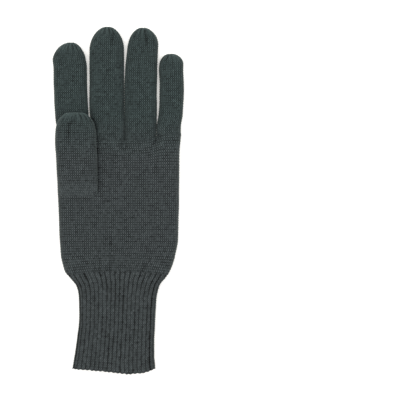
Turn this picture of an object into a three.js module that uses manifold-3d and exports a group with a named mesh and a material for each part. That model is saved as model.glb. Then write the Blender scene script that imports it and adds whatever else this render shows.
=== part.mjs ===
// A knitted glove liner that lies palm up, with its thumb folded over the palm.
// Millimetres, +Z up, fingers towards +Y, thumb on the -X side, resting on Z = 0.
import * as THREE from 'three';
import { mergeVertices } from 'three/addons/utils/BufferGeometryUtils.js';
import Module from 'manifold-3d';

const wasm = await Module();
wasm.setup();

const { lerp, clamp, smoothstep } = THREE.MathUtils;

// The knitted fabric
const knitWall = 1.4; // one layer of plain knitting
const ribWall = 1.8; // one layer of ribbing, at the ribs' crests
const seamGap = 0.3; // clearance between pieces knitted on to each other
const restGap = 0.4; // clearance between the thumb and the palm under it
const foldHeight = 2.6; // the side folds lie this high above the table
const foldRound = 13; // the upper layer is at its full height this far in from a fold
const curlRound = 4; // the under layer lies flat this far in from a fold
const crownPower = 2.5; // how square the upper layer's shoulders are

// Hand: a tube from the ribbing to the fingers
const palmWidth = 93.2;
const palmThickness = 8.6;
const handLength = 99.7;
const crotchHeight = 4.4; // the upper layer dips to this between two fingers
const crotchBlend = 15; // the dips start this far below the fingers
const knuckleSplits = [0.273, 0.548, 0.802]; // shares of the rim's width where the fingers part
const littleStep = 5; // the little finger starts this much further up

// Cuff: a ribbed tube
const cuffWidth = 58;
const cuffThickness = 8.3;
const cuffLength = 75.2;
const ribsPerSide = 19;
const ribDepth = 0.8;
const sideRibDepth = 1.1; // the valley just inside each side fold
const seamBow = 3; // the rib seam lies this much lower at the sides than in the middle
const hemWave = 3.2; // the hem dips this much at its lowest place

// Fingers
const indexLength = 74.8;
const middleLength = 86.9;
const ringLength = 84.5;
const littleLength = 61.6;
const fingerThickness = 7.8;
const tipRound = 7; // length over which a fingertip closes in height
const knuckleBlend = 16; // a finger has its own width this far above the knuckles
const splay = 2; // largest space between two fingers

// Thumb: a tube knitted on round a slit in the palm
const thumbLength = 63.9;
const thumbWidth = 31.8;
const thumbThickness = 8.1;
const thumbSeat = 56.8; // from the rib seam to the thumb's seam
const thumbDome = 15.3;
const thumbRamp = 11; // length over which the thumb rises from the palm
const thumbLip = 2.2; // the slanted wall's width where it meets the palm
const thumbMouth = 14; // the thumb's under layer starts this far past its seam
const thumbDroop = 1.5; // its edge sinks this much over the palm's side fold
const slitInset = 3; // from the thumb's side folds to the ends of the slit

// Gathers at the closed tips, and pressed-in creases
const puckerDepth = 0.5;
const puckerReach = 10;
const creaseDepth = 1;
const creaseWidth = 2.2;

// Fingers side by side. wide is a share of the finger's part of the hand's rim,
// dome and apex are shares of its own width
const fingers = [
  { name: 'index_finger', length: indexLength, wide: 0.986, dome: 0.549, apex: -0.03 },
  { name: 'middle_finger', length: middleLength, wide: 1.01, dome: 0.582, apex: -0.05 },
  { name: 'ring_finger', length: ringLength, wide: 1.015, dome: 0.471, apex: 0.02 },
  { name: 'little_finger', length: littleLength, wide: 0.976, dome: 0.47, apex: -0.05 },
];

// Hand outline. at is a share of handLength, left and right of palmWidth, rise of palmThickness
const handSections = [
  { at: 0, left: -0.43, right: 0.414, rise: 0.92 },
  { at: 0.031, left: -0.446, right: 0.43, rise: 0.94 },
  { at: 0.061, left: -0.455, right: 0.446, rise: 0.96 },
  { at: 0.123, left: -0.471, right: 0.464, rise: 0.98 },
  { at: 0.245, left: -0.48, right: 0.486, rise: 1 },
  { at: 0.398, left: -0.487, right: 0.49, rise: 1 },
  { at: 0.551, left: -0.489, right: 0.495, rise: 1 },
  { at: 0.674, left: -0.496, right: 0.496, rise: 0.99 },
  { at: 0.858, left: -0.504, right: 0.497, rise: 0.94 },
  { at: 1, left: -0.508, right: 0.508, rise: 0.907 },
];

// Cuff outline from the seam to the hem. at is a share of cuffLength, left, right and rise of the cuff's own
// sizes, and flareLeft and flareRight say how much of the hand's outline it still has
const cuffSections = [
  { at: 0, left: -0.521, right: 0.481, rise: 1, flareLeft: 1, flareRight: 1 },
  { at: 0.041, left: -0.521, right: 0.481, rise: 1, flareLeft: 0.77, flareRight: 0.85 },
  { at: 0.081, left: -0.521, right: 0.481, rise: 1, flareLeft: 0.53, flareRight: 0.62 },
  { at: 0.122, left: -0.521, right: 0.481, rise: 1, flareLeft: 0.25, flareRight: 0.42 },
  { at: 0.203, left: -0.521, right: 0.481, rise: 1, flareLeft: 0.07, flareRight: 0.2 },
  { at: 0.284, left: -0.521, right: 0.481, rise: 1, flareLeft: 0, flareRight: 0.07 },
  { at: 0.528, left: -0.525, right: 0.479, rise: 0.99, flareLeft: 0, flareRight: 0 },
  { at: 0.69, left: -0.545, right: 0.47, rise: 0.98, flareLeft: 0, flareRight: 0 },
  { at: 0.85, left: -0.571, right: 0.467, rise: 0.97, flareLeft: 0, flareRight: 0 },
  { at: 1, left: -0.602, right: 0.483, rise: 0.97, flareLeft: 0, flareRight: 0 },
];

// The hem's waves across the cuff, as shares of hemWave
const hemLine = [
  { across: 0, drop: -0.25 },
  { across: 0.25, drop: 0.15 },
  { across: 0.45, drop: 0.6 },
  { across: 0.67, drop: 1 },
  { across: 0.85, drop: 0.5 },
  { across: 1, drop: -0.6 },
];

// The finger rim across the hand, as shares of littleStep
const knuckleLine = [
  { across: 0, step: 0 },
  { across: 0.3, step: 0 },
  { across: 0.62, step: 0 },
  { across: 0.74, step: 0.12 },
  { across: 0.802, step: 0.5 },
  { across: 0.87, step: 0.92 },
  { across: 1, step: 1 },
];

// Spaces between the fingers. up is a share of the longest finger, the rest of splay
const fingerSpaces = [
  { up: 0, indexMiddle: 0, middleRing: 0, ringLittle: 0 },
  { up: 0.07, indexMiddle: 0, middleRing: 0, ringLittle: 0.05 },
  { up: 0.22, indexMiddle: 0.05, middleRing: 0, ringLittle: 0.55 },
  { up: 0.36, indexMiddle: 0.25, middleRing: 0, ringLittle: 0.6 },
  { up: 0.49, indexMiddle: 0.75, middleRing: 0.08, ringLittle: 0.6 },
  { up: 0.67, indexMiddle: 0.85, middleRing: 0.35, ringLittle: 0.75 },
  { up: 0.87, indexMiddle: 1, middleRing: 1, ringLittle: 0.85 },
];

// Thumb outline. at is a share of thumbLength, centre of palmWidth from the middle line, wide of thumbWidth
const thumbSections = [
  { at: 0, centre: -0.324, wide: 0.93 },
  { at: 0.12, centre: -0.327, wide: 0.965 },
  { at: 0.3, centre: -0.332, wide: 0.985 },
  { at: 0.55, centre: -0.341, wide: 1 },
  { at: 0.75, centre: -0.347, wide: 0.995 },
  { at: 1, centre: -0.349, wide: 0.97 },
];

// Creases pressed into the upper layer, as shares of the piece's width and length, and of creaseDepth
const creases = [
  { piece: 'hand', across: 0.43, along: 0, toAcross: 0.44, toAlong: 0.3, depth: 0.8 },
  { piece: 'hand', across: 0.33, along: 0, toAcross: 0.35, toAlong: 0.17, depth: 0.5 },
  { piece: 'hand', across: 0.52, along: 0, toAcross: 0.53, toAlong: 0.2, depth: 0.5 },
  { piece: 'hand', across: 0.74, along: 0, toAcross: 0.79, toAlong: 0.1, depth: 0.7 },
  { piece: 'thumb', across: 0.36, along: 0.75, toAcross: 0.4, toAlong: 0.9, depth: 0.8 },
  { piece: 'middle_finger', across: 0.72, along: 0.93, toAcross: 0.66, toAlong: 0.84, depth: 0.6 },
  { piece: 'ring_finger', across: 0.62, along: 0.98, toAcross: 0.62, toAlong: 0.85, depth: 1 },
];

// Mesh resolution
const columnsPerFinger = 8;
const columnsPerTube = 12;
const handStations = [0, 0.03, 0.06, 0.1, 0.16, 0.24, 0.33, 0.43, 0.53, 0.62, 0.71, 0.8, 0.87, 0.93, 0.97, 1];
const handLiningStations = [0, 0.08, 0.2, 0.4, 0.6, 0.8, 0.88, 0.94, 1];
const cuffStations = [1, 0.93, 0.82, 0.68, 0.5, 0.3, 0.2, 0.12, 0.06, 0];
const cuffLiningStations = [1, 0.7, 0.3, 0.15, 0.07, 0];
const fingerStations = [0.1, 0.25, 0.45, 0.7, 1]; // shares of the way to the dome
const fingerLiningStations = [0.25, 0.6, 1];
const domeSteps = 7;
const domeLiningSteps = 4;

// Reads a table at any place between its rows, smoothly
function reader(rows, key) {
  const places = rows.map((row) => row[key]);
  const columns = Object.keys(rows[0]).filter((column) => column !== key);
  const values = rows.flatMap((row) => columns.map((column) => row[column]));
  const curve = new THREE.CubicInterpolant(places, values, columns.length);
  return (place) => {
    const found = curve.evaluate(place);
    return Object.fromEntries(columns.map((column, i) => [column, found[i]]));
  };
}

const handAt = reader(handSections, 'at');
const cuffAt = reader(cuffSections, 'at');
const hemAt = reader(hemLine, 'across');
const knuckleAt = reader(knuckleLine, 'across');
const spacesAt = reader(fingerSpaces, 'up');
const thumbAt = reader(thumbSections, 'at');

// Share of its full rise that the upper layer has at a distance in from a side fold
function crown(distance, round) {
  const left = 1 - Math.min(distance / round, 1);
  return Math.sqrt(1 - left ** crownPower);
}

// Share of the way up to the fold that the under layer curls at a distance in from it
function curl(distance, round) {
  const left = 1 - Math.min(distance / round, 1);
  return 1 - Math.sqrt(1 - left * left);
}

// Share of its full size that a closed end has at a distance from its tip
function dome(distance, length) {
  const left = 1 - clamp(distance / length, 0, 1);
  return Math.sqrt(1 - left * left);
}

// Height of one layer of a tube that lies flat, half is half of its width
function layerHeight(layer, fromSide, half, { low, fold, high }) {
  if (layer === 'upper') {
    return fold + (high - fold) * crown(fromSide, Math.min(foldRound, half));
  }
  return low + (fold - low) * curl(fromSide, Math.min(curlRound, half));
}

// Columns across a tube, as shares of its width, closer together towards both folds
function foldedColumns(count) {
  return Array.from({ length: count + 1 }, (_, i) => (1 - Math.cos((Math.PI * i) / count)) / 2);
}

// One ring round a tube: over the upper layer from the left fold to the right one, and back underneath
function tubeRing(columns, point) {
  const upper = columns.map((share) => point(share, 'upper'));
  const under = columns.slice(1, -1).reverse().map((share) => point(share, 'under'));
  return [...upper, ...under];
}

// Moves the points of a ring inwards, each by its own depth
function sinkRing(ring, depthOf) {
  return ring.map((point, i) => {
    const before = ring[(i + ring.length - 1) % ring.length];
    const after = ring[(i + 1) % ring.length];
    const outwards = new THREE.Vector3(before.z - after.z, 0, after.x - before.x).normalize();
    return point.clone().addScaledVector(outwards, -depthOf(i));
  });
}

// Depth of the creases of a piece at a place in its upper layer
function creaseAt(piece, across, along, width, length) {
  const place = new THREE.Vector3(across * width, along * length, 0);
  let depth = 0;
  for (const crease of creases.filter((row) => row.piece === piece)) {
    const start = new THREE.Vector3(crease.across * width, crease.along * length, 0);
    const end = new THREE.Vector3(crease.toAcross * width, crease.toAlong * length, 0);
    const nearest = new THREE.Line3(start, end).closestPointToPoint(place, true, new THREE.Vector3());
    const away = nearest.distanceTo(place) / creaseWidth;
    depth = Math.max(depth, crease.depth * creaseDepth * Math.exp(-away * away));
  }
  return depth;
}

// A closed body between an outer and an inner set of rings. An open end has a rim, a closed end two tips
function knitShell(outer, inner, tips) {
  const around = outer[0].length;
  const points = [...outer.flat(), ...inner.flat(), ...(tips ?? [])];
  const innerStart = outer.length * around;
  const faces = [];
  const ringOf = (start, level) => Array.from({ length: around }, (_, i) => start + level * around + i);
  const eachPair = (visit) => {
    for (let i = 0; i < around; i += 1) visit(i, (i + 1) % around);
  };
  for (let level = 0; level + 1 < outer.length; level += 1) {
    const [a, b] = [ringOf(0, level), ringOf(0, level + 1)];
    eachPair((i, next) => faces.push(a[i], a[next], b[next], a[i], b[next], b[i]));
  }
  for (let level = 0; level + 1 < inner.length; level += 1) {
    const [a, b] = [ringOf(innerStart, level), ringOf(innerStart, level + 1)];
    eachPair((i, next) => faces.push(a[i], b[next], a[next], a[i], b[i], b[next]));
  }
  const [o, n] = [ringOf(0, 0), ringOf(innerStart, 0)];
  eachPair((i, next) => faces.push(o[i], n[i], n[next], o[i], n[next], o[next]));
  const [p, q] = [ringOf(0, outer.length - 1), ringOf(innerStart, inner.length - 1)];
  if (tips) {
    const outerTip = points.length - 2;
    const innerTip = points.length - 1;
    eachPair((i, next) => faces.push(p[i], p[next], outerTip, q[i], innerTip, q[next]));
  } else {
    eachPair((i, next) => faces.push(p[i], q[next], q[i], p[i], p[next], q[next]));
  }
  const geometry = new THREE.BufferGeometry().setFromPoints(points);
  geometry.setIndex(faces);
  geometry.computeVertexNormals();
  return geometry;
}

// Turns a closed geometry into a solid that can be cut
function toSolid(geometry) {
  const bare = geometry.clone();
  bare.deleteAttribute('normal');
  bare.deleteAttribute('uv');
  const merged = mergeVertices(bare);
  const vertProperties = new Float32Array(merged.attributes.position.array);
  const triVerts = new Uint32Array(merged.index.array);
  return new wasm.Manifold(new wasm.Mesh({ numProp: 3, vertProperties, triVerts }));
}

function fromSolid(solid) {
  const mesh = solid.getMesh();
  const geometry = new THREE.BufferGeometry();
  geometry.setAttribute('position', new THREE.BufferAttribute(new Float32Array(mesh.vertProperties), 3));
  geometry.setIndex(new THREE.BufferAttribute(new Uint32Array(mesh.triVerts), 1));
  geometry.computeVertexNormals();
  return geometry;
}

// Wool, a heathered grey green. The ribbing shows a little darker than the plain knitting
const plainKnit = { color: '#3d4342', roughness: 0.95, metalness: 0 };
const ribKnit = { color: '#3b4140', roughness: 0.95, metalness: 0 };

function knitPiece(name, geometry, finish) {
  const mesh = new THREE.Mesh(geometry, new THREE.MeshStandardMaterial(finish));
  mesh.name = name;
  return mesh;
}

// Left and right fold of the hand, and the height of its upper layer
function handOutline(at) {
  const row = handAt(at);
  return { left: row.left * palmWidth, right: row.right * palmWidth, high: row.rise * palmThickness };
}

// The rib seam bows down towards both sides
function seamDrop(share) {
  return seamBow * (2 * share - 1) ** 2;
}

// Columns across the hand: a set for each finger, so that the dips between fingers fall on columns
function handColumns() {
  const edges = [0, ...knuckleSplits, 1];
  const shares = fingers.flatMap((_, i) =>
    foldedColumns(columnsPerFinger).slice(0, -1).map((share) => lerp(edges[i], edges[i + 1], share)));
  return [...shares, 1];
}

function handPoint(share, layer, at, inset) {
  const { left, right, high } = handOutline(at);
  const width = right - left - 2 * inset;
  const fromSide = Math.min(share, 1 - share) * width;
  const levels = { low: inset, fold: foldHeight, high: high - inset };
  let z = layerHeight(layer, fromSide, width / 2, levels);
  if (layer === 'upper') {
    const fromCrotch = Math.min(...knuckleSplits.map((split) => Math.abs(share - split))) * width;
    const dipped = lerp(Math.min(crotchHeight - inset, z), z, crown(fromCrotch, foldRound));
    z = lerp(z, dipped, smoothstep(at * handLength, handLength - crotchBlend, handLength));
    if (inset === 0) z -= creaseAt('hand', share, at, width, handLength);
  }
  const x = left + inset + share * width;
  const across = (x - left) / (right - left);
  const bow = seamDrop(across) * (1 - smoothstep(at, 0, 0.2));
  const step = knuckleAt(across).step * littleStep * smoothstep(at, 0.75, 1);
  return new THREE.Vector3(x, at * handLength - bow + step, z);
}

// The slit in the palm that the thumb is knitted on to
function thumbSlit() {
  const { left, right } = thumbOutline(0);
  const [low, high] = [thumbSeat + thumbLip + seamGap, thumbSeat + thumbMouth - seamGap];
  const round = (high - low) / 2;
  const middle = (high + low) / 2;
  const outline = new THREE.Shape();
  outline.absarc(right - slitInset - round, middle, round, -Math.PI / 2, Math.PI / 2);
  outline.absarc(left + slitInset + round, middle, round, Math.PI / 2, (3 * Math.PI) / 2);
  const cut = new THREE.ExtrudeGeometry(outline, {
    depth: palmThickness,
    bevelEnabled: false,
    curveSegments: 6,
  });
  return cut.translate(0, 0, palmThickness / 2);
}

function hand() {
  const columns = handColumns();
  const outer = handStations.map((at) => tubeRing(columns, (share, layer) => handPoint(share, layer, at, 0)));
  const inner = handLiningStations.map((at) =>
    tubeRing(columns, (share, layer) => handPoint(share, layer, at, knitWall)));
  const tube = toSolid(knitShell(outer, inner));
  const geometry = fromSolid(tube.subtract(toSolid(thumbSlit())));
  return knitPiece('hand', geometry, plainKnit);
}

// Folds of the cuff and the height of its upper layer, which flare out to the hand's at the seam
function cuffOutline(at) {
  const row = cuffAt(at);
  const wrist = handOutline(0);
  return {
    left: lerp(row.left * cuffWidth, wrist.left, row.flareLeft),
    right: lerp(row.right * cuffWidth, wrist.right, row.flareRight),
    high: lerp(row.rise * cuffThickness, wrist.high, row.flareLeft),
  };
}

function cuffPoint(share, layer, at, inset) {
  const { left, right, high } = cuffOutline(at);
  const width = right - left - 2 * inset;
  const fromSide = Math.min(share, 1 - share) * width;
  const z = layerHeight(layer, fromSide, width / 2, { low: inset, fold: foldHeight, high: high - inset });
  const x = left + inset + share * width;
  const across = (x - left) / (right - left);
  const bow = seamDrop(across) * (1 - smoothstep(at, 0, 0.3));
  const wave = hemAt(across).drop * hemWave * smoothstep(at, 0.4, 1);
  return new THREE.Vector3(x, -seamGap - at * cuffLength - bow - wave, z);
}

// Ribs: every second point of a ring is a valley, the deepest ones lie just inside the side folds
function cuff() {
  const steps = 2 * ribsPerSide;
  const squeeze = 0.25;
  const columns = Array.from({ length: steps + 1 }, (_, i) => {
    const share = i / steps;
    return share - (squeeze * Math.sin(2 * Math.PI * share)) / (2 * Math.PI);
  });
  const valley = (i) => {
    const column = Math.min(i % steps, steps - (i % steps));
    if (column % 2 === 0) return 0;
    return column === 1 ? sideRibDepth : ribDepth;
  };
  const outer = cuffStations.map((at) =>
    sinkRing(tubeRing(columns, (share, layer) => cuffPoint(share, layer, at, 0)), valley));
  const inner = cuffLiningStations.map((at) =>
    tubeRing(columns, (share, layer) => cuffPoint(share, layer, at, ribWall)));
  return knitPiece('cuff', knitShell(outer, inner), ribKnit);
}

// X of the places where the fingers part, with both ends of the rim
function knuckles() {
  const { left, right } = handOutline(1);
  return [0, ...knuckleSplits, 1].map((share) => lerp(left, right, share));
}

// Full width of a finger
function fingerWidth(order) {
  const parts = knuckles();
  return fingers[order].wide * (parts[order + 1] - parts[order]);
}

// Folds of the four fingers at a height: each lies beside its neighbour, the middle finger's place is first
function fingerEdges(y) {
  const parts = knuckles();
  const above = y - handLength;
  const own = smoothstep(above, 0, knuckleBlend);
  const longest = Math.max(...fingers.map((finger) => finger.length));
  const spaces = spacesAt(above / longest);
  const widths = fingers.map((_, i) => lerp(parts[i + 1] - parts[i] - seamGap, fingerWidth(i), own));
  const middle = (parts[1] + parts[2]) / 2;
  const edges = [];
  edges[1] = { left: middle - widths[1] / 2, right: middle + widths[1] / 2 };
  const indexRight = edges[1].left - seamGap - splay * spaces.indexMiddle;
  edges[0] = { left: indexRight - widths[0], right: indexRight };
  const ringLeft = edges[1].right + seamGap + splay * spaces.middleRing;
  edges[2] = { left: ringLeft, right: ringLeft + widths[2] };
  const littleLeft = edges[2].right + seamGap + splay * spaces.ringLittle;
  edges[3] = { left: littleLeft, right: littleLeft + widths[3] };
  return edges;
}

// Share across the rim of the hand, of a place at the knuckles
function rimShare(x) {
  const { left, right } = handOutline(1);
  return clamp((x - left) / (right - left), 0, 1);
}

// Rings of a fingertip, as distances from the tip, closer together towards it
function domeDistances(length, steps, last) {
  return Array.from({ length: steps }, (_, i) => {
    const angle = (Math.PI / 2) * ((i + 1) / (steps + 1));
    return Math.max(length * (1 - Math.sin(angle)), last);
  });
}

function fingerPoint(finger, order, share, layer, y, inset) {
  const { left, right } = fingerEdges(y)[order];
  const base = fingerBase(order);
  const tip = base + finger.length - inset;
  const open = dome(tip - y, finger.dome * fingerWidth(order) - inset);
  const height = dome(tip - y, tipRound - inset);
  const half = ((right - left) / 2 - inset) * open;
  const centre = (left + right) / 2 + finger.apex * fingerWidth(order) * (1 - open);
  const middle = fingerThickness / 2;
  const levels = {
    low: lerp(middle, inset, height),
    fold: lerp(middle, foldHeight, height),
    high: lerp(middle, fingerThickness - inset, height),
  };
  const fromSide = Math.min(share, 1 - share) * 2 * half;
  let z = layerHeight(layer, fromSide, half, levels);
  const along = (y - base) / finger.length;
  if (layer === 'upper' && inset === 0) {
    z -= creaseAt(finger.name, share, along, 2 * half, finger.length) * height;
  }
  const x = centre + half * (2 * share - 1);
  const step = knuckleAt(rimShare(x)).step - knuckleAt(rimShare(centre)).step;
  const fade = 1 - smoothstep(y - base, 0, knuckleBlend);
  return new THREE.Vector3(x, y + step * littleStep * fade, z);
}

// Where a finger starts, a seam's gap above the hand's rim
function fingerBase(order) {
  const parts = knuckles();
  const centre = (parts[order] + parts[order + 1]) / 2;
  return handLength + seamGap + knuckleAt(rimShare(centre)).step * littleStep;
}

// Depth of the gathers of a closed tip in every second point of a ring
function pucker(distance) {
  const near = 1 - Math.min(distance / puckerReach, 1);
  return (i) => (i % 2 === 0 ? 0 : puckerDepth * near * near);
}

function fingerPiece(finger, order) {
  const columns = foldedColumns(columnsPerTube);
  const base = fingerBase(order);
  const tip = base + finger.length;
  const domeLength = finger.dome * fingerWidth(order);
  const ring = (y, inset) =>
    tubeRing(columns, (share, layer) => fingerPoint(finger, order, share, layer, y, inset));
  const body = (shares, inset) =>
    [base, ...shares.map((share) => lerp(base, tip - inset - domeLength, share))];
  const lastOuter = 0.35;
  const outer = [
    ...body(fingerStations, 0),
    ...domeDistances(domeLength, domeSteps, lastOuter).map((distance) => tip - distance),
  ].map((y) => sinkRing(ring(y, 0), pucker(tip - y)));
  const inner = [
    ...body(fingerLiningStations, knitWall),
    ...domeDistances(domeLength - knitWall, domeLiningSteps, lastOuter)
      .map((distance) => tip - knitWall - distance),
  ].map((y) => ring(y, knitWall));
  const last = outer[outer.length - 1];
  const apex = (last[0].x + last[columnsPerTube].x) / 2;
  const tips = [tip - puckerDepth, tip - knitWall].map((y) =>
    new THREE.Vector3(apex, y, fingerThickness / 2));
  return knitPiece(finger.name, knitShell(outer, inner, tips), plainKnit);
}

// Folds of the thumb at a distance past its seam
function thumbOutline(past) {
  const row = thumbAt(past / thumbLength);
  const half = (row.wide * thumbWidth) / 2;
  return { left: row.centre * palmWidth - half, right: row.centre * palmWidth + half };
}

// What the thumb lies on: the palm and then the index finger, sinking a little over their side fold
function thumbRest(x, y) {
  const at = Math.min(y / handLength, 1);
  const { left, high } = handOutline(at);
  const outer = y > handLength ? fingerEdges(y)[0].left : left;
  const near = 1 - clamp((x - outer) / foldRound, 0, 1);
  return Math.max(high, y > handLength ? fingerThickness : 0) + restGap - thumbDroop * near * near;
}

// A point of the thumb. upper and under say how far past the seam the ring's two layers are
function thumbPoint(share, layer, { upper, under }, inset) {
  const about = thumbOutline((upper + under) / 2);
  const turnRound = 4;
  const acrossBody = Math.min(share, 1 - share) * (about.right - about.left);
  const nearFold = (1 - Math.min(acrossBody / turnRound, 1)) ** 2 / 2;
  const past = lerp(upper, under, layer === 'upper' ? nearFold : 1 - nearFold);
  const { left, right } = thumbOutline(past);
  const y = thumbSeat + past;
  const start = inset > 0 ? thumbLip : 0;
  const risen = Math.sin((Math.PI / 2) * clamp((past - start) / (thumbRamp - start), 0, 1));
  const foldRisen = Math.sin((Math.PI / 2) * clamp(past / thumbRamp, 0, 1));
  const fromTip = thumbLength - inset - past;
  const open = dome(fromTip, thumbDome - inset);
  const height = dome(fromTip, tipRound - inset);
  const half = ((right - left) / 2 - inset) * open;
  const x = (left + right) / 2 + half * (2 * share - 1);
  const middle = thumbThickness / 2;
  const levels = {
    low: lerp(middle, inset, height),
    fold: lerp(middle, foldHeight * foldRisen, height),
    high: lerp(middle, (thumbThickness - inset) * risen, height),
  };
  const fromSide = Math.min(share, 1 - share) * 2 * half;
  let z = thumbRest(x, y) + layerHeight(layer, fromSide, half, levels);
  if (layer === 'upper' && inset === 0) {
    z -= creaseAt('thumb', share, past / thumbLength, 2 * half, thumbLength) * height;
  }
  return new THREE.Vector3(x, y, z);
}

// The thumb's first rings slant: its upper layer comes down to the palm at the seam, where its under layer
// starts only past the slit. upper is a share of thumbRamp, under of thumbMouth
const thumbBaseRings = [
  { upper: 0, under: 1 },
  { upper: 0.2, under: 1.05 },
  { upper: 0.45, under: 1.1 },
  { upper: 0.75, under: 1.18 },
  { upper: 1.1, under: 1.3 },
];

function thumb() {
  const columns = foldedColumns(columnsPerTube);
  const straight = (past) => ({ upper: past, under: past });
  const slanted = (lip) => thumbBaseRings.map((row) => ({
    upper: lerp(lip, thumbRamp, row.upper),
    under: row.under * thumbMouth,
  }));
  const domeStart = thumbLength - thumbDome;
  const body = (shares) => shares.map((share) => straight(lerp(1.45 * thumbMouth, domeStart, share)));
  const last = 0.35;
  const outer = [
    ...slanted(0),
    ...body([0, 0.35, 0.7, 1]),
    ...domeDistances(thumbDome, domeSteps, last).map((distance) => straight(thumbLength - distance)),
  ].map((row) => {
    const ring = tubeRing(columns, (share, layer) => thumbPoint(share, layer, row, 0));
    return sinkRing(ring, pucker(thumbLength - row.upper));
  });
  const inner = [
    ...slanted(thumbLip),
    ...body([0, 0.5, 1]),
    ...domeDistances(thumbDome - knitWall, domeLiningSteps, last)
      .map((distance) => straight(thumbLength - knitWall - distance)),
  ].map((row) => tubeRing(columns, (share, layer) => thumbPoint(share, layer, row, knitWall)));
  const end = outer[outer.length - 1];
  const apex = (end[0].x + end[columnsPerTube].x) / 2;
  const tips = [puckerDepth, knitWall].map((back) => {
    const y = thumbSeat + thumbLength - back;
    return new THREE.Vector3(apex, y, thumbRest(apex, y) + thumbThickness / 2);
  });
  return knitPiece('thumb', knitShell(outer, inner, tips), plainKnit);
}

const glove = new THREE.Group();
glove.add(cuff(), hand(), thumb(), ...fingers.map(fingerPiece));

// The origin lies on the table under the middle of the glove
const extent = new THREE.Box3().setFromObject(glove);
const middle = extent.getCenter(new THREE.Vector3());
glove.position.set(-middle.x, -middle.y, -extent.min.z);

export default glove;
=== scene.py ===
import math

import bpy
import numpy as np
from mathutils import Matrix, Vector


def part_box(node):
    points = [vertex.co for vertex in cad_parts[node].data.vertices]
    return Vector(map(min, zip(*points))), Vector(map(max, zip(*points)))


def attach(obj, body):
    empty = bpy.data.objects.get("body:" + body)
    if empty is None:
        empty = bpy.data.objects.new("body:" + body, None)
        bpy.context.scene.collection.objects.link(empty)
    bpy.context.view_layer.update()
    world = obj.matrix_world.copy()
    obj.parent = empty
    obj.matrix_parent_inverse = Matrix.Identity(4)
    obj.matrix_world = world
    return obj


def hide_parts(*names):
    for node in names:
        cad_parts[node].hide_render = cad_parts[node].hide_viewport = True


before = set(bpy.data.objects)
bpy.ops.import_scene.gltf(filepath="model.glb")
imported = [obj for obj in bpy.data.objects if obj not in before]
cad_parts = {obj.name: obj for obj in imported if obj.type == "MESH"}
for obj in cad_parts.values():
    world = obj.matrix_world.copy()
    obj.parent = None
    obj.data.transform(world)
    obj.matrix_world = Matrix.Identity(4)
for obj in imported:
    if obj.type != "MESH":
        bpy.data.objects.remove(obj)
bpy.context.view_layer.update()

mm = 0.001

# Lengths are in millimetres, in the hand's own frame: y = 0 at the middle of the rib seam.
# A surface is read at share, from the left fold 0 to the right fold 1, in its upper or its
# under layer, at along, from the tube's start 0 to its end 1, and at inset inside the outer face
fabric = {
    "wall": 1.4,  # one layer of plain knitting
    "foldHeight": 2.6,  # side folds lie this high above the table
    "foldRound": 7,  # the upper layer is at full height this far in from a fold
    "curlRound": 4,  # the under layer lies flat this far in from a fold
    "crownPower": 2.5,  # of the upper layer's curve, 2 is an ellipse
    "foldGirth": 10,  # a finger's tube is twice its width and this much round
    "waleWidth": 1.63,  # one column of stitches
    "courseHeight": 1.8,  # one row of stitches, drawn a little coarse so that it shows
    "columnsPerWale": 4,  # faces across a stitch
    "rowsPerCourse": 3,  # faces along a stitch
    "stitchHeight": 0.42,
    "stitchSlant": 0.5,  # how far the arms of a stitch rise, in courses
    "smallestStitch": 0.15,  # share of its height left where a tube is drawn shut
    "looseness": 0.07,  # unevenness from stitch to stitch
    "softness": 0.22,  # unevenness of the lying layer
    "clearness": 0.14,  # the stitches' painted light and shade show more in one place than in another
    "yarnToneAndPaintedLight": 0.5,  # tone of the flat knitting, 0 is black and 1 is the full colour; painted shade and painted light are added to it
    "hollowPaintedShade": 0.55,  # painted shade: darker by this for each mm that the layer lies back, lighter where a ridge stands up
    "tableShare": 0.15,  # relief left where the under layer lies on the table
    "liningRows": 9,
    "liningShade": 0.35,
    "liningStitch": 0.3,
}


# Reads a table's column at any place, smoothly and without overshoot
def readTable(places, values, at):
    places, values = np.array(places, float), np.array(values, float)
    steps = np.diff(places)
    slopes = np.diff(values) / steps
    same = slopes[:-1] * slopes[1:] > 0
    total = np.where(same, slopes[:-1] + slopes[1:], 1)
    inner = np.where(same, 2 * slopes[:-1] * slopes[1:] / total, 0)
    tangents = np.concatenate(([slopes[0]], inner, [slopes[-1]]))
    at = np.clip(at, places[0], places[-1])
    i = np.clip(np.searchsorted(places, at, side="right") - 1, 0, len(steps) - 1)
    t = (at - places[i]) / steps[i]
    start = values[i] * (1 + 2 * t) * (1 - t) ** 2 + tangents[i] * steps[i] * t * (1 - t) ** 2
    end = values[i + 1] * t * t * (3 - 2 * t) + tangents[i + 1] * steps[i] * t * t * (t - 1)
    return start + end


def smoothStep(value, low, high):
    t = np.clip((value - low) / (high - low), 0, 1)
    return t * t * (3 - 2 * t)


def mix(a, b, share):
    return a + (b - a) * share


# 1 at a place, fading away from it like a bell
def bell(away, reach):
    return np.exp(-(away / reach) ** 2)


def crown(distance, reach):
    left = 1 - np.clip(distance / reach, 0, 1)
    return np.sqrt(1 - left ** fabric["crownPower"])


def roundEnd(distance, reach):
    left = 1 - np.clip(distance / reach, 0, 1)
    return np.sqrt(1 - left * left)


# Height of a tube that lies flat, over its upper or its under layer
def layerHeight(upper, fromSide, half, low, fold, high):
    over = fold + (high - fold) * crown(fromSide, np.minimum(fabric["foldRound"], half))
    below = fold + (low - fold) * roundEnd(fromSide, np.minimum(fabric["curlRound"], half))
    return np.where(upper, over, below)


# Width inside the wall, distance to the nearer fold, place, and share of the full width
def acrossTube(share, left, right, inset):
    width = right - left - 2 * inset
    x = left + inset + share * width
    return width, np.minimum(share, 1 - share) * width, x, (x - left) / (right - left)


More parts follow.
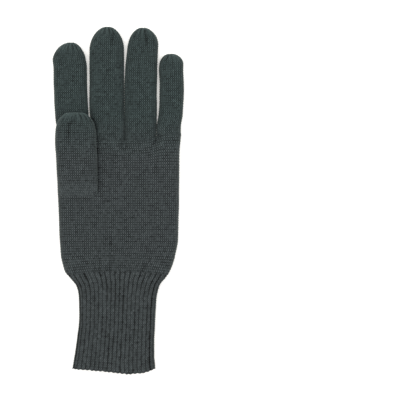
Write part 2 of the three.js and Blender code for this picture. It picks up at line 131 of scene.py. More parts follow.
# Hand: a flat tube of plain knitting, from the rib seam to the knuckles
hand = {
    "width": 93.6,
    "thickness": 8.6,
    "length": 99.7,
    "girth": 200,  # all round, of the knitting laid open
    "wales": 118,
    "courses": 55,
    "seed": 1,
    "splits": [0.276, 0.549, 0.802],  # between the fingers, as shares of the rim
    "crotchHeight": 4.4,  # the upper layer dips to this between two fingers
    "crotchBlend": 15,  # and starts to dip this far below them
    "littleStep": 5,  # the rim is this much further up at the little finger
    "stepFrom": 0.75,  # where the knitting starts to rise towards that
    "stepAcross": [0, 0.3, 0.62, 0.74, 0.802, 0.87, 1],
    "step": [0, 0, 0, 0.12, 0.5, 0.92, 1],
    "seamBow": 3,  # the rib seam hangs this much lower at the folds
    "bowTo": 0.2,  # and the bow fades over this share of the length
    "at": [0, 0.031, 0.061, 0.123, 0.245, 0.398, 0.551, 0.674, 0.858, 1],
    "left": [-0.418, -0.438, -0.45, -0.471, -0.48, -0.487, -0.492, -0.499, -0.504, -0.508],
    "right": [0.401, 0.418, 0.434, 0.459, 0.484, 0.487, 0.492, 0.493, 0.495, 0.508],
    "rise": [0.92, 0.94, 0.96, 0.98, 1, 1, 1, 0.99, 0.94, 0.907],
    # From across and along, to across and along, then depth and width in mm, a ridge below 0
    "creases": [
        (0.43, 0.0, 0.44, 0.3, 0.35, 1.3),
        (0.33, 0.0, 0.35, 0.17, 0.2, 1.3),
        (0.52, 0.0, 0.53, 0.2, 0.2, 1.3),
        (0.74, 0.0, 0.79, 0.1, 0.35, 1.3),
        (0.80, 0.98, 0.77, 0.94, 0.35, 1.1),
        (0.33, 0.985, 0.53, 0.985, -0.3, 0.7),
        (0.535, 0.97, 0.51, 0.95, 0.35, 0.9),
    ],
}


def handOutline(at):
    left, right, rise = (readTable(hand["at"], hand[key], at) for key in ("left", "right", "rise"))
    return left * hand["width"], right * hand["width"], rise * hand["thickness"]


def knuckleStep(across):
    return readTable(hand["stepAcross"], hand["step"], across) * hand["littleStep"]


def seamBow(across, away, reach):
    return hand["seamBow"] * (2 * across - 1) ** 2 * (1 - smoothStep(away, 0, reach))


def handSurface(share, upper, along, inset):
    left, right, high = handOutline(along)
    width, fromSide, x, across = acrossTube(share, left, right, inset)
    z = layerHeight(upper, fromSide, width / 2, inset, fabric["foldHeight"], high - inset)
    fromCrotch = np.min([np.abs(share - split) for split in hand["splits"]], axis=0) * width
    dip = np.minimum(hand["crotchHeight"] - inset, z)
    dipped = mix(dip, z, crown(fromCrotch, fabric["foldRound"]))
    y = along * hand["length"]
    near = smoothStep(y, hand["length"] - hand["crotchBlend"], hand["length"])
    z = np.where(upper, mix(z, dipped, near), z)
    step = knuckleStep(across) * smoothStep(along, hand["stepFrom"], 1)
    return x, y - seamBow(across, along, hand["bowTo"]) + step, z


# Cuff: a ribbed tube, its tables run from the rib seam to the hem, its surface the other way
cuff = {
    "width": 58,
    "thickness": 8.3,
    "length": 75.2,
    "girth": 130,
    "wall": 1.8,
    "ribs": 41,
    "walesPerRib": 2,
    "courses": 42,
    "seed": 2,
    "bowTo": 0.3,  # the seam's bow fades over this share of the length
    "at": [0, 0.041, 0.081, 0.122, 0.203, 0.284, 0.528, 0.69, 0.85, 1],
    "left": [-0.521, -0.521, -0.521, -0.521, -0.521, -0.521, -0.525, -0.545, -0.572, -0.61],
    "right": [0.487, 0.487, 0.487, 0.487, 0.487, 0.487, 0.482, 0.472, 0.469, 0.486],
    "rise": [1, 1, 1, 1, 1, 1, 0.99, 0.98, 0.97, 0.97],
    "flareLeft": [1, 0.72, 0.45, 0.23, 0.06, 0, 0, 0, 0, 0],
    "flareRight": [1, 0.78, 0.53, 0.36, 0.18, 0.07, 0, 0, 0, 0],
    "hemWave": 3.2,
    "hemWaveFrom": 0.4,
    "hemAcross": [0, 0.25, 0.45, 0.67, 0.85, 1],
    "hemDrop": [-0.35, 0.02, 0.36, 0.85, 0.55, -0.3],
    "hemLoop": 0.5,  # the ribs' last rows hang past the valleys'
    "hemScallop": (0, 0.4),  # and each rib by its own length
    "hemLoopRows": 2,  # over this many rows
    "ribDepth": 0.6,  # at the rib seam
    "looseDepth": 0.55,  # share of that depth further down
    "seamPull": 13,  # how far down the seam draws the valleys in
    "ribSharp": (0.8, 0.45),  # power of a rib's round, loose and at the seam
    "ribSharpRun": 16,
    "valleyStitch": 0.75,  # height of the stitches in the valleys
    "sideRibDepth": 0.8,  # added to the valley just inside each fold
    "sideRibs": [1.3, 2.5],  # how far in those two valleys are
    "sideRibWidth": 1.1,
    "ribMood": (0.6, 1.3),  # each rib's own depth
    "patchy": 0.32,  # and how much it changes along the rib
    "patchRows": 3.5,
    "ribPaintedShade": 0.15,  # painted shade in the valleys
    # painted shade for each mm that the ribbing lies back
    "hollowPaintedShade": 0.4,
}


def cuffSurface(share, upper, along, inset):
    at = 1 - along
    left, right, rise, flareLeft, flareRight = (
        readTable(cuff["at"], cuff[key], at)
        for key in ("left", "right", "rise", "flareLeft", "flareRight"))
    wristLeft, wristRight, wristHigh = handOutline(0)
    left = mix(left * cuff["width"], wristLeft, flareLeft)
    right = mix(right * cuff["width"], wristRight, flareRight)
    high = mix(rise * cuff["thickness"], wristHigh, flareLeft)
    width, fromSide, x, across = acrossTube(share, left, right, inset)
    z = layerHeight(upper, fromSide, width / 2, inset, fabric["foldHeight"], high - inset)
    drop = readTable(cuff["hemAcross"], cuff["hemDrop"], across) * cuff["hemWave"]
    wave = drop * smoothStep(at, cuff["hemWaveFrom"], 1)
    return x, -at * cuff["length"] - seamBow(across, at, cuff["bowTo"]) - wave, z


# Two columns of plain stitches stand out, the purled one between them is drawn in behind
def ribRaised(wale, fromSeam):
    inRib = (wale / cuff["walesPerRib"]) % 1
    sharp = mix(*cuff["ribSharp"], bell(fromSeam, cuff["ribSharpRun"]))
    return (0.5 - 0.5 * np.cos(2 * math.pi * inRib)) ** sharp


# How far the valleys lie back, and how far the last rows hang past the hem, rib by rib
def ribValleys(rng, raised, wale, course, across, fromSeam):
    rib = np.round(wale / cuff["walesPerRib"]).astype(int) % cuff["ribs"]
    mood, phase, scallop = (
        rng.uniform(low, high, cuff["ribs"])[rib]
        for low, high in (cuff["ribMood"], (0, 6.3), cuff["hemScallop"]))
    patchy = mood * (1 + cuff["patchy"] * np.sin(course / cuff["patchRows"] + phase))
    deep = cuff["ribDepth"] * mix(cuff["looseDepth"], 1, bell(fromSeam, cuff["seamPull"])) * patchy
    side = np.minimum(across, 1 - across) * cuff["width"]
    fromValley = side - np.where(across < 0.5, *cuff["sideRibs"])
    hollow = (1 - raised) * (deep + cuff["sideRibDepth"] * bell(fromValley, cuff["sideRibWidth"]))
    hang = (cuff["hemLoop"] * raised + scallop) * np.clip(1 - course / cuff["hemLoopRows"], 0, 1)
    return hollow, hang


# Four fingers: closed tubes on the hand's rim
fingers = {
    "names": ["index_finger", "middle_finger", "ring_finger", "little_finger"],
    "length": [74.8, 86.9, 86, 61.6],
    "wide": [0.963, 1.01, 0.997, 0.966],  # shares of the finger's part of the hand's rim
    "dome": [0.6, 0.697, 0.58, 0.45],  # shares of the finger's own width
    "apex": [0.09, 0.03, -0.01, -0.06],  # how far the tip stands to the right, also shares of it
    "gathers": [15, 13, 14, 11],
    "seed": [3, 4, 5, 6],
    "thickness": 7.8,
    "tipRound": 7,
    "knuckleBlend": 16,
    "seamGap": 0.3,  # between two fingers that touch
    "splay": 2,  # the spaces below are this many mm at 1, at shares of the longest finger
    "up": [0, 0.12, 0.22, 0.36, 0.5, 0.64, 0.72, 0.87],
    "middleLean": [0, 0, -0.2, -0.32, -0.35, -0.35, -0.35, -0.35],
    "indexMiddle": [0, 0.15, 0.45, 0.73, 0.92, 0.97, 1.4, 1.75],
    "middleRing": [0, 0, 0, 0, 0.15, 0.43, 0.8, 1.55],
    "ringLittle": [0, 0, 0.64, 0.94, 0.97, 0.7, 0.68, 0.5],
    "ringLean": 0.4,  # how far the ring finger's outer fold follows its inner one
    "creases": {
        "middle_finger": [(0.72, 0.93, 0.66, 0.84, 0.6, 1.3)],
        "ring_finger": [(0.62, 0.98, 0.62, 0.85, 1.0, 1.2)],
    },
}


# Where the hand's rim is parted between the fingers, from fold to fold
def knuckles():
    left, right, _ = handOutline(1)
    return [mix(left, right, share) for share in [0] + hand["splits"] + [1]]


def fingerWidth(order):
    parts = knuckles()
    return fingers["wide"][order] * (parts[order + 1] - parts[order])


# Both folds of each finger at a height, the others are placed from the middle finger
def fingerEdges(y):
    parts = knuckles()
    above = y - hand["length"]
    own = smoothStep(above, 0, fingers["knuckleBlend"])
    up = above / max(fingers["length"])
    lean, *spaces = [readTable(fingers["up"], fingers[key], up) * fingers["splay"]
                     for key in ("middleLean", "indexMiddle", "middleRing", "ringLittle")]
    seamGap = fingers["seamGap"]
    widths = [mix(parts[i + 1] - parts[i] - seamGap, fingerWidth(i), own) for i in range(4)]
    middle = (parts[1] + parts[2]) / 2
    middleLeft, middleRight = middle + lean - widths[1] / 2, middle + lean + widths[1] / 2
    indexRight = middleLeft - seamGap - spaces[0]
    ringLeft = middleRight + seamGap + spaces[1]
    ringRight = middle + widths[1] / 2 + seamGap + widths[2] + fingers["ringLean"] * spaces[1]
    littleLeft = ringRight + seamGap + spaces[2]
    return [
        (indexRight - widths[0], indexRight),
        (middleLeft, middleRight),
        (ringLeft, ringRight),
        (littleLeft, littleLeft + widths[3]),
    ]


def rimShare(x):
    left, right, _ = handOutline(1)
    return np.clip((x - left) / (right - left), 0, 1)


def fingerBase(order):
    parts = knuckles()
    return hand["length"] + knuckleStep(rimShare((parts[order] + parts[order + 1]) / 2))


# The surface of one finger, from the knuckles to its own tip
def fingerSurface(order):
    base, length = fingerBase(order), fingers["length"][order]
    domeLength = fingers["dome"][order] * fingerWidth(order)
    apex = fingers["apex"][order] * fingerWidth(order)

    def surface(share, upper, along, inset):
        tip = base + length - inset
        y = mix(base, tip, along)
        left, right = fingerEdges(y)[order]
        full = roundEnd(tip - y, domeLength - inset)
        height = roundEnd(tip - y, fingers["tipRound"] - inset)
        half = ((right - left) / 2 - inset) * full
        centre = (left + right) / 2 + apex * (1 - full)
        middle = fingers["thickness"] / 2
        levels = (inset, fabric["foldHeight"], fingers["thickness"] - inset)
        low, fold, high = (mix(middle, level, height) for level in levels)
        fromSide = np.minimum(share, 1 - share) * 2 * half
        z = layerHeight(upper, fromSide, half, low, fold, high)
        x = centre + half * (2 * share - 1)
        step = knuckleStep(rimShare(x)) - knuckleStep(rimShare(centre))
        fade = 1 - smoothStep(y - base, 0, fingers["knuckleBlend"])
        return x, y + step * fade, z

    return surface


# Thumb: a closed tube that rises from the palm and lies on it
thumb = {
    "length": 63.9,
    "width": 31,
    "thickness": 8.1,
    "seat": 56.8,  # its seam on the palm
    "seed": 9,
    "gathers": 17,
    "dome": 19.5,
    "blunt": 2.8,  # power of the tip's outline, 2 is an ellipse
    "tipRound": 4,
    "ramp": 22,  # it rises to its full height over this
    "mouth": 5,  # the under layer starts this far above the seam
    "mouthBlend": 1.4,  # and joins the thumb's own measure at this many times that
    "foldWidth": 4,  # the two layers' starts meet over this width at each fold
    "restGap": 0.35,
    "droop": 1.5,  # it hangs this much over the side fold
    "baseDroop": 1.2,  # and this much more at the seam, where it leaves the palm's fold
    "baseDroopRun": 24,
    "basePaintedLight": 0.15,  # painted light: the knitting above the seam is painted lighter, where its rise faces away from the lamps
    "basePaintedLightRun": (4, 16),
    "pressed": ["hand", "index_finger", "middle_finger"],  # what its edge sinks into
    "pressDepth": 0.38,
    "pressWidth": 1.2,
    "at": [0, 0.12, 0.3, 0.55, 0.75, 1],
    "centre": [-0.324, -0.327, -0.332, -0.341, -0.344, -0.347],
    "wide": [0.93, 0.965, 0.985, 1, 0.985, 0.96],
    "creases": [
        (0.33, 0.72, 0.36, 0.86, 0.6, 1.5),
        (0.36, 0.86, 0.52, 0.92, 0.5, 1.5),
        (0.95, 0.01, 0.9, 0.06, 0.45, 1.1),
    ],
}


# The thumb's upper layer starts at its seam, and its under layer further up on the palm
def thumbSurface(share, upper, along, inset):
    past = along * (thumb["length"] - inset)
    blend = thumb["mouthBlend"] * thumb["mouth"]
    under = np.maximum(past, mix(thumb["mouth"], blend, past / blend))
    fromFold = np.minimum(share, 1 - share) * thumb["width"]
    nearFold = (1 - np.clip(fromFold / thumb["foldWidth"], 0, 1)) ** 2 / 2
    past = mix(past, under, np.where(upper, nearFold, 1 - nearFold))
    centre, wide = (readTable(thumb["at"], thumb[key], past / thumb["length"])
                    for key in ("centre", "wide"))
    fromTip = thumb["length"] - inset - past
    left = 1 - np.clip(fromTip / (thumb["dome"] - inset), 0, 1)
    full = (1 - left ** thumb["blunt"]) ** (1 / thumb["blunt"])
    height = roundEnd(fromTip, thumb["tipRound"] - inset)
    half = (wide * thumb["width"] / 2 - inset) * full
    x = centre * hand["width"] + half * (2 * share - 1)
    y = thumb["seat"] + past
    risen = np.sin(math.pi / 2 * np.clip(past / thumb["ramp"], 0, 1))
    middle = thumb["thickness"] / 2
    levels = (inset, fabric["foldHeight"], thumb["thickness"] - inset)
    low, fold, high = (mix(middle, level * risen, height) for level in levels)
    fromSide = np.minimum(share, 1 - share) * 2 * half
    z = thumbRest(x, y) + layerHeight(upper, fromSide, half, low, fold, high)
    return x, y, z


# Height of what the thumb lies on, sinking over the side fold
def thumbRest(x, y):
    at = np.minimum(y / hand["length"], 1)
    handLeft, _, high = handOutline(at)
    onFinger = y > hand["length"]
    outer = np.where(onFinger, fingerEdges(y)[0][0], handLeft)
    near = 1 - np.clip((x - outer) / fabric["foldRound"], 0, 1)
    top = np.maximum(high, np.where(onFinger, fingers["thickness"], 0))
    atSeam = 1 - smoothStep(y - thumb["seat"], 0, thumb["baseDroopRun"])
    sink = thumb["droop"] + thumb["baseDroop"] * atSeam
    return top + thumb["restGap"] - sink * near ** 2


# Depth of the groove that the thumb's edge presses into the pieces under it, also painted there as
# shade
def thumbPress(points):
    edge = [thumbSurface(side, True, along, 0)[:2]
            for side in (0, 1) for along in np.linspace(0.1, 1, 50)]
    away = np.full(points.shape[:2], np.inf)
    for x, y in edge:
        away = np.minimum(away, np.hypot(points[..., 0] - x, points[..., 1] - y))
    return thumb["pressDepth"] * bell(away, thumb["pressWidth"])


# Gathers: the last row of a closed tube is drawn shut, and its folds run out from the tip
gathers = {
    "reach": 10.5,
    "ease": 1.5,  # power with which they fade over that
    "flatTip": 2.5,  # they are full deep this far from the tip
    "depth": 1.85,
    "sharp": 1.6,
    "strength": (0.65, 0.35),  # of all folds, and how much it changes round the tube
    "wander": (0.8, 0.5),  # how far they stray from even places
    "light": 0.52,  # painted light on the drawn tip, so it shows lighter between its folds' painted shade
}


def gatherFolds(count, turn, fromTip, seed):
    first, second = gathers["wander"]
    wander = first * np.sin(3 * turn + seed) + second * np.sin(5 * turn + 2 * seed)
    fold = (0.5 + 0.5 * np.cos(count * turn + wander)) ** gathers["sharp"]
    even, uneven = gathers["strength"]
    strength = even + uneven * np.sin(2 * turn + seed)
    drawn = np.clip(1 - fromTip / gathers["reach"], 0, 1) ** gathers["ease"]
    begun = np.clip(fromTip / gathers["flatTip"], 0, 1)
    return gathers["depth"] * strength * fold * drawn * begun, drawn


# Depth of a piece's creases at places in its upper layer, each runs out at its end
def creaseDepth(rows, across, along, width, length):
    depth = np.zeros_like(across)
    place = np.stack((across * width, along * length), axis=-1)
    for startAcross, startAlong, endAcross, endAlong, deep, wide in rows:
        start = np.array((startAcross * width, startAlong * length))
        line = np.array((endAcross * width, endAlong * length)) - start
        t = np.clip((place - start) @ line / (line @ line), 0, 1)
        away = np.linalg.norm(place - start - t[..., None] * line, axis=-1)
        depth += deep * np.sqrt(np.clip(1.15 - t, 0, 1)) * bell(away, wide)
    return depth


# Soft unevenness of cloth that lies by itself, about 1 high, from waves 14 to 40 mm long
def unevenness(x, y, seed):
    rng = np.random.default_rng(seed)
    total = np.zeros_like(x)
    for _ in range(7):
        turn, phase = rng.uniform(0, 2 * math.pi), rng.uniform(0, 2 * math.pi)
        span = rng.uniform(14, 40)
        total += np.sin((x * math.cos(turn) + y * math.sin(turn)) * 2 * math.pi / span + phase)
    return total / 4


# Stocking stitch: each stitch is a V, its two arms stand out beside a groove
def plainStitch(wale, course):
    fromMiddle = np.abs(2 * (wale % 1) - 1)
    crest = np.cos(math.pi / 2 * fromMiddle) ** 0.7 - 0.3 * (1 - fromMiddle) ** 4
    rise = course - fabric["stitchSlant"] * fromMiddle
    return crest * (0.5 + 0.5 * np.cos(2 * math.pi * rise)) ** 0.6


# One value by chance for each stitch
def looseStitches(rng, wale, course, wales, courses):
    loose = rng.normal(0, fabric["looseness"], (courses + 1, wales + 1))
    row = np.minimum(course.astype(int), courses)
    return loose[row, np.minimum(wale.astype(int), wales) % wales]


# One ring of points round a tube, evenly spaced, from the left fold over the top and back
# below, with each point's share and whether it is in the upper layer
def evenRing(surface, count, along, inset):
    layer = (1 - np.cos(np.linspace(0, math.pi, 160))) / 2
    share = np.concatenate((layer, layer[::-1][1:]))
    upper = np.arange(len(share)) < len(layer)
    points = np.stack(np.broadcast_arrays(*surface(share, upper, along, inset)), axis=1)
    lengths = np.linalg.norm(np.diff(points[:, (0, 2)], axis=0), axis=1)
    run = np.concatenate(([0], np.cumsum(lengths)))
    places = np.linspace(0, run[-1], count + 1)
    ring = np.stack([np.interp(places, run, points[:, axis]) for axis in range(3)], axis=1)
    return ring, np.interp(places, run, share), places < run[len(layer) - 1]


# Places of the rows along a tube. In a closed one they come closer together towards the
# end, as the dome turns over, and the last one stops short of the tip
def rowPlaces(places, closed, power, tipHole):
    if closed:
        towardsTip = places[-1] > places[0]
        places = 1 - (1 - places) ** power
        places[-1 if towardsTip else 0] = 1 - tipHole
    return places


# Directions along a tube and out of it, at each point of its outer face
def tubeDirections(points):
    around = np.roll(points[:, :-1], -1, axis=1) - np.roll(points[:, :-1], 1, axis=1)
    around = np.concatenate((around, around[:, :1]), axis=1)
    onward = np.gradient(points, axis=0)
    outward = np.cross(around, onward)
    outward /= np.maximum(np.linalg.norm(outward, axis=2, keepdims=True), 1e-9)
    onward /= np.maximum(np.linalg.norm(onward, axis=2, keepdims=True), 1e-9)
    return onward, outward


# Outer face and lining as one sheet, and how many rows it has before and after the outer
# face. A closed tube's two layers each end in a point, an open one's meet at both rims
def closeSheet(points, lining, closed):
    if closed:
        outerTip = np.broadcast_to(points[-1].mean(axis=0) - (0, 0.5, 0), points[:1].shape)
        innerTip = np.broadcast_to(lining[0].mean(axis=0), points[:1].shape)
        sheet = np.concatenate((innerTip, lining, points, outerTip))
        spread = (len(lining) + 1, 1)
    else:
        sheet = np.concatenate((points, lining, points[:1]))
        spread = (0, len(lining) + 1)
    sheet[:, -1] = sheet[:, 0]
    return sheet, (spread, (0, 0))


# Lays a grid on the sheet's points and welds it. knitPlace is each point's wale and course
def addKnitMesh(name, sheet, knitPlace, pointValues):
    rows, columns = len(sheet) - 1, sheet.shape[1] - 1
    bpy.ops.object.select_all(action="DESELECT")
    bpy.ops.mesh.primitive_grid_add(x_subdivisions=columns, y_subdivisions=rows, size=1)
    piece = bpy.context.active_object
    piece.name = piece.data.name = name + "_knit"
    place = (sheet + handOrigin) * mm
    piece.data.vertices.foreach_set("co", place.reshape(-1).astype(np.float32))
    for title, values in pointValues.items():
        layer = piece.data.attributes.new(title, "FLOAT", "POINT")
        layer.data.foreach_set("value", values.reshape(-1).astype(np.float32))
    corners = np.zeros(len(piece.data.loops), np.int32)
    piece.data.loops.foreach_get("vertex_index", corners)
    stitches = piece.data.uv_layers[0]
    stitches.name = "stitches"
    cornerPlaces = knitPlace.reshape(-1, 2)[corners].reshape(-1)
    stitches.data.foreach_set("uv", cornerPlaces.astype(np.float32))
    bpy.ops.object.mode_set(mode="EDIT")
    bpy.ops.mesh.select_all(action="SELECT")
    bpy.ops.mesh.remove_doubles(threshold=0.000002)
    bpy.ops.object.mode_set(mode="OBJECT")
    bpy.ops.object.shade_smooth()
    return piece


# Makes one knitted tube, closed all round: outside, rim and lining are one grid, rolled up.
# One with gathers is closed at its end too, and one that is ribbed starts at its hem
def knitTube(name, surface, wales, courses, length, wall, seed,
             creases=(), gathered=0, ribbed=False):
    columns = wales * fabric["columnsPerWale"]
    rows = np.linspace(0, 1, courses * fabric["rowsPerCourse"] + 1)
    rows = rowPlaces(rows, gathered, 1.06, 0.25 / length)
    rings = [evenRing(surface, columns, along, 0) for along in rows]
    points, across, onTop = (np.array(values) for values in zip(*rings))
    along = rows[:, None] + 0 * across
    toEnd = (1 - along) * length
    wale = np.arange(columns + 1) / fabric["columnsPerWale"] + 0 * across
    course = np.arange(len(rows))[:, None] / fabric["rowsPerCourse"] + 0 * across

    # Stitches, smaller where the columns are drawn together
    pitch = np.linalg.norm(np.diff(points, axis=1), axis=2).sum(axis=1, keepdims=True) / wales
    gauge = np.clip(pitch / fabric["waleWidth"], fabric["smallestStitch"], 1)
    rng = np.random.default_rng(seed)
    loose = looseStitches(rng, wale, course, wales, courses)
    height = plainStitch(wale, course)
    paintedLightAndTone = fabric["yarnToneAndPaintedLight"] + loose

    # What draws the layer in, and the painted shade and painted light laid on it there
    hollow, slide = np.zeros_like(across), np.zeros_like(across)
    hollowPaintedShade = fabric["hollowPaintedShade"]
    if ribbed:
        raised = ribRaised(wale, toEnd)
        height = height * mix(cuff["valleyStitch"], 1, raised)
        hollow, hang = ribValleys(rng, raised, wale, course, across, toEnd)
        slide -= hang
        # Painted shade in the rib valleys
        paintedLightAndTone -= cuff["ribPaintedShade"] * (1 - raised)
        hollowPaintedShade = cuff["hollowPaintedShade"]
    if gathered:
        folds, drawn = gatherFolds(gathered, 2 * math.pi * wale / wales, toEnd, seed)
        hollow += folds
        # Painted light on the drawn tip
        paintedLightAndTone += gathers["light"] * drawn
    hollow += creaseDepth(creases, across, along, np.ptp(points[:, :, 0]), length) * onTop
    if name == "thumb":
        # Painted light on the thumb's rising base
        paintedLightAndTone += thumb["basePaintedLight"] * (1 - smoothStep(along * length, *thumb["basePaintedLightRun"]))
    if name in thumb["pressed"]:
        hollow += thumbPress(points) * onTop
    # Painted shade in the creases, gathers, rib valleys and the thumb's groove, painted light on
    # ridges
    paintedLightAndTone -= hollowPaintedShade * hollow

    # The outer face with its relief
    x, y, z = (points[..., axis] for axis in range(3))
    hollow += fabric["softness"] * unevenness(x, y, seed) * onTop
    clear = gauge * (1 + fabric["clearness"] * unevenness(x, y, seed + 20))
    relief = fabric["stitchHeight"] * gauge * height * (1 + loose)
    lift = np.where(onTop | (z > 1), 1, fabric["tableShare"])
    onward, outward = tubeDirections(points)
    points = (points + outward * (relief - hollow)[..., None] * lift[..., None]
              + onward * slide[..., None])

    # Lining: a few plain rings back through the inside
    back = rowPlaces(np.linspace(1, 0, fabric["liningRows"]), gathered, 1.5, 0.3 / length)
    lining = np.array([evenRing(surface, columns, along, wall)[0] for along in back])
    sheet, spread = closeSheet(points, lining, gathered)
    knitPlace = np.stack(
        (np.pad(wale, spread, mode="edge"), np.pad(course, spread, mode="reflect")), axis=-1)
    piece = addKnitMesh(name, sheet, knitPlace, {
        "yarnToneAndPaintedLight": np.pad(paintedLightAndTone, spread, constant_values=fabric["liningShade"]),
        "stitchShare": np.pad(clear, spread, constant_values=fabric["liningStitch"]),
    })
    print(name, "knitted:", wales, "columns,", courses, "rows,",
          len(piece.data.polygons), "faces")
    return piece


# A finger or thumb, with as many whole stitches as its size holds
def knitFinger(name, surface, around, length, seed, creases, gathered):
    wales = round(around / fabric["waleWidth"])
    courses = round(length / fabric["courseHeight"])
    return knitTube(name, surface, wales, courses, length, fabric["wall"], seed, creases, gathered)


# Origin of the hand's frame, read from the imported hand
handLow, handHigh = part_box("hand")
handOrigin = np.array([
    (handLow[0] + handHigh[0]) / 2 / mm,
    handHigh[1] / mm - hand["length"] - hand["littleStep"],
    0,
])


def hexColour(code):
    values = [int(code[i:i + 2], 16) / 255 for i in (1, 3, 5)]
    return [v / 12.92 if v <= 0.04045 else ((v + 0.055) / 1.055) ** 2.4 for v in values] + [1]


# Adds a node with its settings and links
def addNode(tree, kind, settings=None, links=None):
    node = tree.nodes.new(kind)
    for key, value in (settings or {}).items():
        if isinstance(key, int) or key in node.inputs:
            node.inputs[key].default_value = value
        else:
            setattr(node, key, value)
    for key, source in (links or {}).items():
        tree.links.new(source, node.inputs[key])
    return node


# Adds one step of arithmetic, each term is a number or a socket
def addMath(tree, operation, *terms):
    node = addNode(tree, "ShaderNodeMath", {"operation": operation})
    for socket, term in zip(node.inputs, terms):
        if isinstance(term, bpy.types.NodeSocket):
            tree.links.new(term, socket)
        else:
            socket.default_value = term
    return node.outputs[0]


# Carded wool yarn, a blend of grey, green and black fibres spun together
yarn = {
    "fleck": 1.1,  # mm, blots of paler and darker fibre
    "fibre": 0.3,  # mm, loose fibres, drawn coarser than the real ones so that they show
    "fuzz": 0.12,  # mm, how far they stand out
    "greenTint": "#e8fbf6",  # the fingers' yarn is a little greener than the palm's
    "greenFrom": 30,  # mm, in the frame
    "greenTo": 65,
    "bloom": "#9aa5a2",
}

# Its flecks' two colours and the near black of the painted shade between stitches, then painted
# light and shade of the knitting along a column, along a row, at each stitch, and tone by chance
# from stitch to stitch
wools = {
    "plain": {"dark": "#393f40", "light": "#545b5c", "deep": "#030404",
              "column": 0.26, "row": 0.21, "stitch": 0.57, "mottle": 0.18},
    "finger": {"dark": "#383e3f", "light": "#535a5b", "deep": "#030404",
               "column": 0.21, "row": 0.1, "stitch": 0.5, "mottle": 0.16},
    "ribbed": {"dark": "#414748", "light": "#5b6263", "deep": "#030404",
               "column": 0.08, "row": 0.05, "stitch": 0.23, "mottle": 0.04},
}


# Knitted from that yarn: matt, mottled along the yarn, with painted shade between the stitches
# and painted light on them, and a soft bloom of loose fibre where light grazes it
def heatheredWool(name, wool):
    material = bpy.data.materials.new(name)
    material.use_nodes = True
    tree = material.node_tree
    tree.nodes.clear()
    place = addNode(tree, "ShaderNodeTexCoord").outputs["Object"]

    # Flecks of two greys, greener towards the fingertips
    fleck = addNode(tree, "ShaderNodeTexNoise",
                    {"Scale": 1 / (yarn["fleck"] * mm), "Detail": 2, "Roughness": 0.6},
                    {"Vector": place})
    fleckShare = addNode(tree, "ShaderNodeMapRange", {"From Min": 0.25, "From Max": 0.75},
                         {"Value": fleck.outputs["Fac"]})
    blend = addNode(tree, "ShaderNodeMix",
                    {"data_type": "RGBA", 6: hexColour(wool["dark"]), 7: hexColour(wool["light"])},
                    {"Factor": fleckShare.outputs["Result"]})
    height = addNode(tree, "ShaderNodeSeparateXYZ", links={"Vector": place}).outputs["Y"]
    drift = addNode(tree, "ShaderNodeMapRange",
                    {"From Min": yarn["greenFrom"] * mm, "From Max": yarn["greenTo"] * mm},
                    {"Value": height})
    tinted = addNode(tree, "ShaderNodeMix",
                     {"data_type": "RGBA", "blend_type": "MULTIPLY",
                      7: hexColour(yarn["greenTint"])},
                     {"Factor": drift.outputs["Result"], 6: blend.outputs[2]})

    # Painted light on the stitches and painted shade between them, from each point's wale and
    # course
    stitches = addNode(tree, "ShaderNodeUVMap", {"uv_map": "stitches"}).outputs["UV"]
    phases = addNode(tree, "ShaderNodeSeparateXYZ", links={"Vector": stitches})

    def wave(axis, sign):
        turn = addMath(tree, "MULTIPLY", phases.outputs[axis], 2 * math.pi)
        return addMath(tree, "MULTIPLY", addMath(tree, "COSINE", turn), sign)

    acrossWave, alongWave = wave("X", -1), wave("Y", 1)
    inRow = addMath(tree, "MULTIPLY_ADD", acrossWave, wool["stitch"], wool["row"])
    rows = addMath(tree, "MULTIPLY", alongWave, inRow)
    light = addMath(tree, "MULTIPLY_ADD", acrossWave, wool["column"], rows)
    # The yarn's tone with painted shade and painted light, and how clearly the stitches show
    share, depth = (addNode(tree, "ShaderNodeAttribute", {"attribute_name": title}).outputs["Fac"]
                    for title in ("stitchShare", "yarnToneAndPaintedLight"))

    # One value by chance for each stitch
    cell = addNode(tree, "ShaderNodeVectorMath", {"operation": "FLOOR"}, {0: stitches})
    chance = addNode(tree, "ShaderNodeTexWhiteNoise", {"noise_dimensions": "2D"},
                     {"Vector": cell.outputs["Vector"]})
    aside = addMath(tree, "SUBTRACT", chance.outputs["Value"], 0.5)
    mottle = addMath(tree, "MULTIPLY", aside, wool["mottle"])
    paintedLightAndTone = addMath(tree, "ADD", addMath(tree, "MULTIPLY_ADD", light, share, depth), mottle)
    # Painted shade: mixed towards the near black deep between the stitches and in the hollows
    shaded = addNode(tree, "ShaderNodeMix",
                     {"data_type": "RGBA", "clamp_factor": True, 6: hexColour(wool["deep"])},
                     {"Factor": paintedLightAndTone, 7: tinted.outputs[2]})

    # Loose fibres and the matt surface
    fibre = addNode(tree, "ShaderNodeTexNoise",
                    {"Scale": 1 / (yarn["fibre"] * mm), "Detail": 3, "Roughness": 0.7},
                    {"Vector": place})
    fuzz = addNode(tree, "ShaderNodeBump", {"Strength": 0.35, "Distance": yarn["fuzz"] * mm},
                   {"Height": fibre.outputs["Fac"]})
    shader = addNode(
        tree, "ShaderNodeBsdfPrincipled",
        {"Roughness": 0.9, "IOR": 1.45, "Specular IOR Level": 0.2,
         "Sheen Weight": 0.6, "Sheen Roughness": 0.4, "Sheen Tint": hexColour(yarn["bloom"])},
        {"Base Color": shaded.outputs[2], "Normal": fuzz.outputs["Normal"]})
    addNode(tree, "ShaderNodeOutputMaterial", links={"Surface": shader.outputs["BSDF"]})
    return material


plainWool = heatheredWool("heathered_wool_plain_knit", wools["plain"])
fingerWool = heatheredWool("heathered_wool_finger_knit", wools["finger"])
ribbedWool = heatheredWool("heathered_wool_ribbing", wools["ribbed"])
print("wool made for", ", ".join(wools))


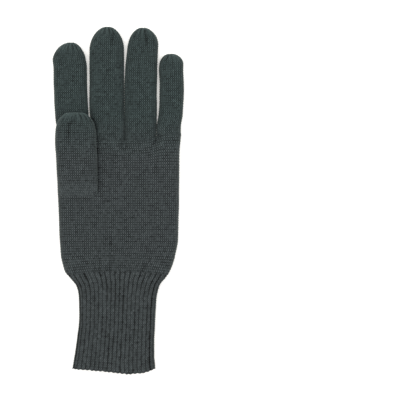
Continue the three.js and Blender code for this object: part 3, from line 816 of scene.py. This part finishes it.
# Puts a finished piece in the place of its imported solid
def dress(piece, node, material):
    piece.data.materials.clear()
    piece.data.materials.append(material)
    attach(piece, "root")
    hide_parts(node)


# Camera straight above, with the photograph's framing, across is the picture's width in mm
camera = {"lens": 130, "sensor": 36, "across": 305.5, "x": 61.7, "y": 0.3, "focusHeight": 4}
cameraData = bpy.data.cameras.new("camera")
cameraData.lens = camera["lens"]
cameraData.sensor_width = camera["sensor"]
cameraObject = bpy.data.objects.new("camera", cameraData)
bpy.context.collection.objects.link(cameraObject)
cameraHeight = camera["across"] * camera["lens"] / camera["sensor"] + camera["focusHeight"]
cameraObject.location = (camera["x"] * mm, camera["y"] * mm, cameraHeight * mm)
cameraObject.rotation_euler = (0, 0, 0)
bpy.context.scene.camera = cameraObject
print("camera set", round(cameraHeight), "mm above the table")

handPiece = knitTube("hand", handSurface, hand["wales"], hand["courses"], hand["length"],
                     fabric["wall"], hand["seed"], hand["creases"])
dress(handPiece, "hand", plainWool)

cuffPiece = knitTube("cuff", cuffSurface, cuff["ribs"] * cuff["walesPerRib"], cuff["courses"],
                     cuff["length"], cuff["wall"], cuff["seed"], ribbed=True)
dress(cuffPiece, "cuff", ribbedWool)

for order, fingerName in enumerate(fingers["names"]):
    fingerAround = 2 * fingerWidth(order) + fabric["foldGirth"]
    fingerLength = fingers["length"][order]
    fingerPiece = knitFinger(
        fingerName, fingerSurface(order), fingerAround, fingerLength, fingers["seed"][order],
        fingers["creases"].get(fingerName, ()), fingers["gathers"][order])
    dress(fingerPiece, fingerName, fingerWool)

thumbAround = 2 * thumb["width"] + fabric["foldGirth"]
thumbPiece = knitFinger("thumb", thumbSurface, thumbAround, thumb["length"], thumb["seed"],
                        thumb["creases"], thumb["gathers"])
dress(thumbPiece, "thumb", plainWool)

# White table top
board = {"size": 4, "height": -0.0003, "colour": "#f6f5f2", "glow": "#fffdf8", "glowPower": 0.3}
bpy.ops.object.select_all(action="DESELECT")
bpy.ops.mesh.primitive_plane_add(size=board["size"], location=(0, 0, board["height"]))
table = bpy.context.active_object
table.name = "table_top"
tableMaterial = bpy.data.materials.new("matt_white_board")
tableMaterial.use_nodes = True
tableShader = tableMaterial.node_tree.nodes["Principled BSDF"]
tableShader.inputs["Base Color"].default_value = hexColour(board["colour"])
tableShader.inputs["Roughness"].default_value = 0.9
tableShader.inputs["Emission Color"].default_value = hexColour(board["glow"])
tableShader.inputs["Emission Strength"].default_value = board["glowPower"]
table.data.materials.append(tableMaterial)

# Studio: two large soft lamps, places and sizes in metres, and a white surrounding
lamps = {
    "key": {"place": (-0.8, 0.2, 1.5), "size": 1.0, "power": 7.5, "colour": (1, 0.99, 0.97)},
    "fill": {"place": (0.8, 0.2, 1.5), "size": 1.6, "power": 7, "colour": (0.97, 0.98, 1)},
}


# Aims a lamp at the middle of the glove
def addLamp(name, place, size, power, colour):
    lampData = bpy.data.lights.new(name, "AREA")
    lampData.size = size
    lampData.energy = power
    lampData.color = colour
    lamp = bpy.data.objects.new(name, lampData)
    bpy.context.collection.objects.link(lamp)
    lamp.location = place
    lamp.rotation_euler = (-Vector(place)).to_track_quat("-Z", "Y").to_euler()


for lampName, lamp in lamps.items():
    addLamp(lampName, **lamp)
world = bpy.data.worlds.new("studio")
world.use_nodes = True
world.node_tree.nodes["Background"].inputs["Color"].default_value = (1, 1, 1, 1)
world.node_tree.nodes["Background"].inputs["Strength"].default_value = 1
bpy.context.scene.world = world
bpy.context.scene.view_settings.view_transform = "Standard"
print("table and lamps placed")
